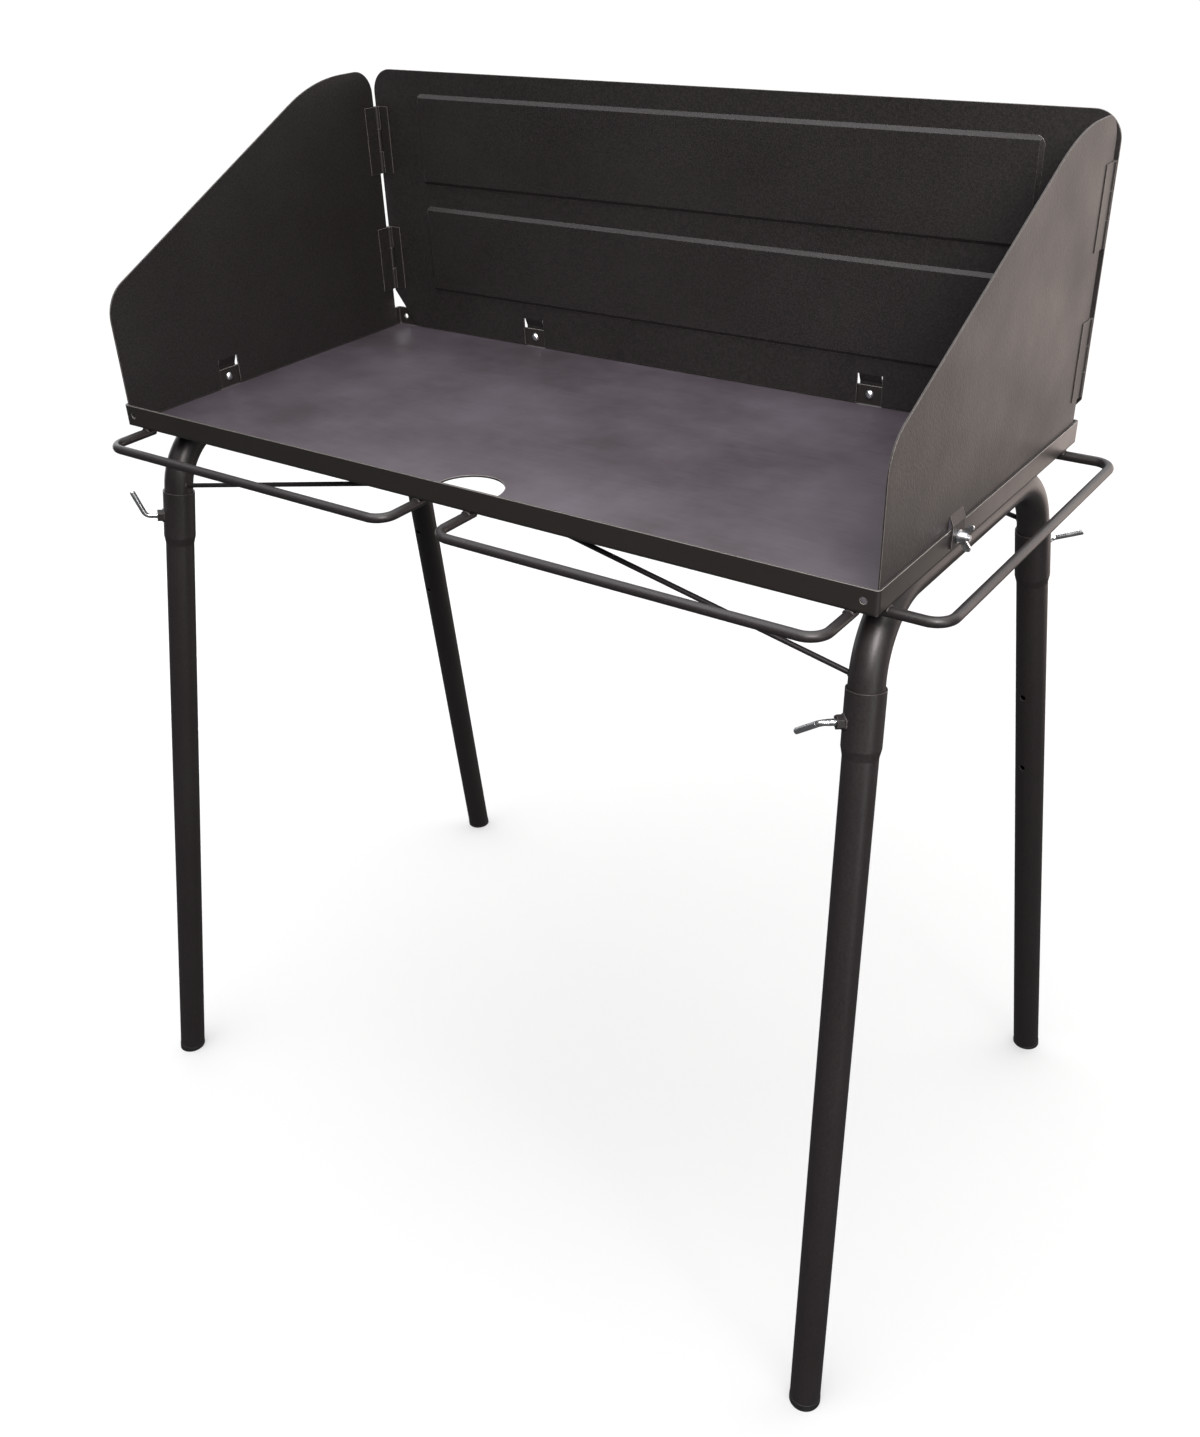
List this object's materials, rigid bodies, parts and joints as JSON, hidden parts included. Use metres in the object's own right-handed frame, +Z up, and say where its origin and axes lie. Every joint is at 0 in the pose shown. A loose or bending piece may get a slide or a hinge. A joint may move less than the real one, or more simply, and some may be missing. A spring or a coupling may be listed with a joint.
{
  "type": "dutch oven cook table",
  "caption": "Standing steel cook table for camp ovens: a lipped tray with an ash hole, a lift-off folding windscreen, rod rails and splayed pull-off tube legs.",
  "frame": {"origin": "on the floor, under the middle of the tray", "axes": "+Z up, +X to the right when looking at the open front, -Y towards the user, +Y towards the back screen"},
  "size_m": [0.9979, 0.6674, 1.177],
  "materials": {
    "black_powder_coat": "semi-matte black powder coat with a fine grain",
    "tray_coat": "smooth dark grey coat with a satin sheen",
    "zinc_plate": "bright zinc plate",
    "black_plastic": "moulded matte black plastic"
  },
  "bodies": {
    "table": {"cook_tray": "tray_coat", "left_frame": "black_powder_coat", "right_frame": "black_powder_coat", "front_left_brace": "black_powder_coat", "front_right_brace": "black_powder_coat", "back_left_brace": "black_powder_coat", "back_right_brace": "black_powder_coat", "front_rail_left": "black_powder_coat", "front_rail_right": "black_powder_coat", "side_rail": "black_powder_coat", "screen_bolts": "zinc_plate", "screen_washers": "zinc_plate"},
    "windscreen": {"back_screen": "black_powder_coat", "left_wing": "black_powder_coat", "right_wing": "black_powder_coat", "left_lower_wing_leaf": "black_powder_coat", "left_lower_screen_leaf": "black_powder_coat", "left_lower_hinge_pin": "black_powder_coat", "left_upper_wing_leaf": "black_powder_coat", "left_upper_screen_leaf": "black_powder_coat", "left_upper_hinge_pin": "black_powder_coat", "right_lower_wing_leaf": "black_powder_coat", "right_lower_screen_leaf": "black_powder_coat", "right_lower_hinge_pin": "black_powder_coat", "right_upper_wing_leaf": "black_powder_coat", "right_upper_screen_leaf": "black_powder_coat", "right_upper_hinge_pin": "black_powder_coat"},
    "left_wing_nut_body": {"left_wing_nut": "zinc_plate"},
    "right_wing_nut_body": {"right_wing_nut": "zinc_plate"},
    "back_left_wing_nut_body": {"back_left_wing_nut": "zinc_plate"},
    "back_right_wing_nut_body": {"back_right_wing_nut": "zinc_plate"},
    "front_left_leg_body": {"front_left_leg": "black_powder_coat", "front_left_foot_cap": "black_plastic", "front_left_clamp_nut": "black_powder_coat"},
    "front_left_screw_body": {"front_left_thumb_screw": "zinc_plate"},
    "front_right_leg_body": {"front_right_leg": "black_powder_coat", "front_right_foot_cap": "black_plastic", "front_right_clamp_nut": "black_powder_coat"},
    "front_right_screw_body": {"front_right_thumb_screw": "zinc_plate"},
    "back_left_leg_body": {"back_left_leg": "black_powder_coat", "back_left_foot_cap": "black_plastic", "back_left_clamp_nut": "black_powder_coat"},
    "back_left_screw_body": {"back_left_thumb_screw": "zinc_plate"},
    "back_right_leg_body": {"back_right_leg": "black_powder_coat", "back_right_foot_cap": "black_plastic", "back_right_clamp_nut": "black_powder_coat"},
    "back_right_screw_body": {"back_right_thumb_screw": "zinc_plate"}
  },
  "joints": [
    {"name": "windscreen_lift", "type": "slide", "parent": "table", "child": "windscreen", "axis": [0, 0, 1], "range_m": [0, 0.06]},
    {"name": "left_wing_nut_turn", "type": "hinge", "parent": "table", "child": "left_wing_nut_body", "pos_m": [-0.4531, -0.075, 0.8845], "axis": [-1, 0, 0], "continuous": true},
    {"name": "right_wing_nut_turn", "type": "hinge", "parent": "table", "child": "right_wing_nut_body", "pos_m": [0.4531, -0.075, 0.8845], "axis": [1, 0, 0], "continuous": true},
    {"name": "back_left_wing_nut_turn", "type": "hinge", "parent": "table", "child": "back_left_wing_nut_body", "pos_m": [-0.225, 0.2281, 0.8845], "axis": [0, 1, 0], "continuous": true},
    {"name": "back_right_wing_nut_turn", "type": "hinge", "parent": "table", "child": "back_right_wing_nut_body", "pos_m": [0.225, 0.2281, 0.8845], "axis": [0, 1, 0], "continuous": true},
    {"name": "front_left_leg_slide", "type": "slide", "parent": "table", "child": "front_left_leg_body", "axis": [-0.062, -0.1582, -0.9855], "range_m": [0, 0.05]},
    {"name": "front_left_screw_turn", "type": "hinge", "parent": "front_left_leg_body", "child": "front_left_screw_body", "pos_m": [-0.44455, -0.21213, 0.76088], "axis": [-0.5927, -0.7886, 0.1638], "continuous": true},
    {"name": "front_right_leg_slide", "type": "slide", "parent": "table", "child": "front_right_leg_body", "axis": [0.062, -0.1582, -0.9855], "range_m": [0, 0.05]},
    {"name": "front_right_screw_turn", "type": "hinge", "parent": "front_right_leg_body", "child": "front_right_screw_body", "pos_m": [0.41688, -0.20997, 0.75879], "axis": [-0.7248, -0.6859, 0.0645], "continuous": true},
    {"name": "back_left_leg_slide", "type": "slide", "parent": "table", "child": "back_left_leg_body", "axis": [-0.062, 0.1582, -0.9855], "range_m": [0, 0.05]},
    {"name": "back_left_screw_turn", "type": "hinge", "parent": "back_left_leg_body", "child": "back_left_screw_body", "pos_m": [-0.4308, 0.21628, 0.76068], "axis": [0.0621, 0.9861, 0.1543], "continuous": true},
    {"name": "back_right_leg_slide", "type": "slide", "parent": "table", "child": "back_right_leg_body", "axis": [0.062, 0.1582, -0.9855], "range_m": [0, 0.05]},
    {"name": "back_right_screw_turn", "type": "hinge", "parent": "back_right_leg_body", "child": "back_right_screw_body", "pos_m": [0.4359, 0.21592, 0.76094], "axis": [0.1807, 0.9693, 0.1669], "continuous": true}
  ]
}
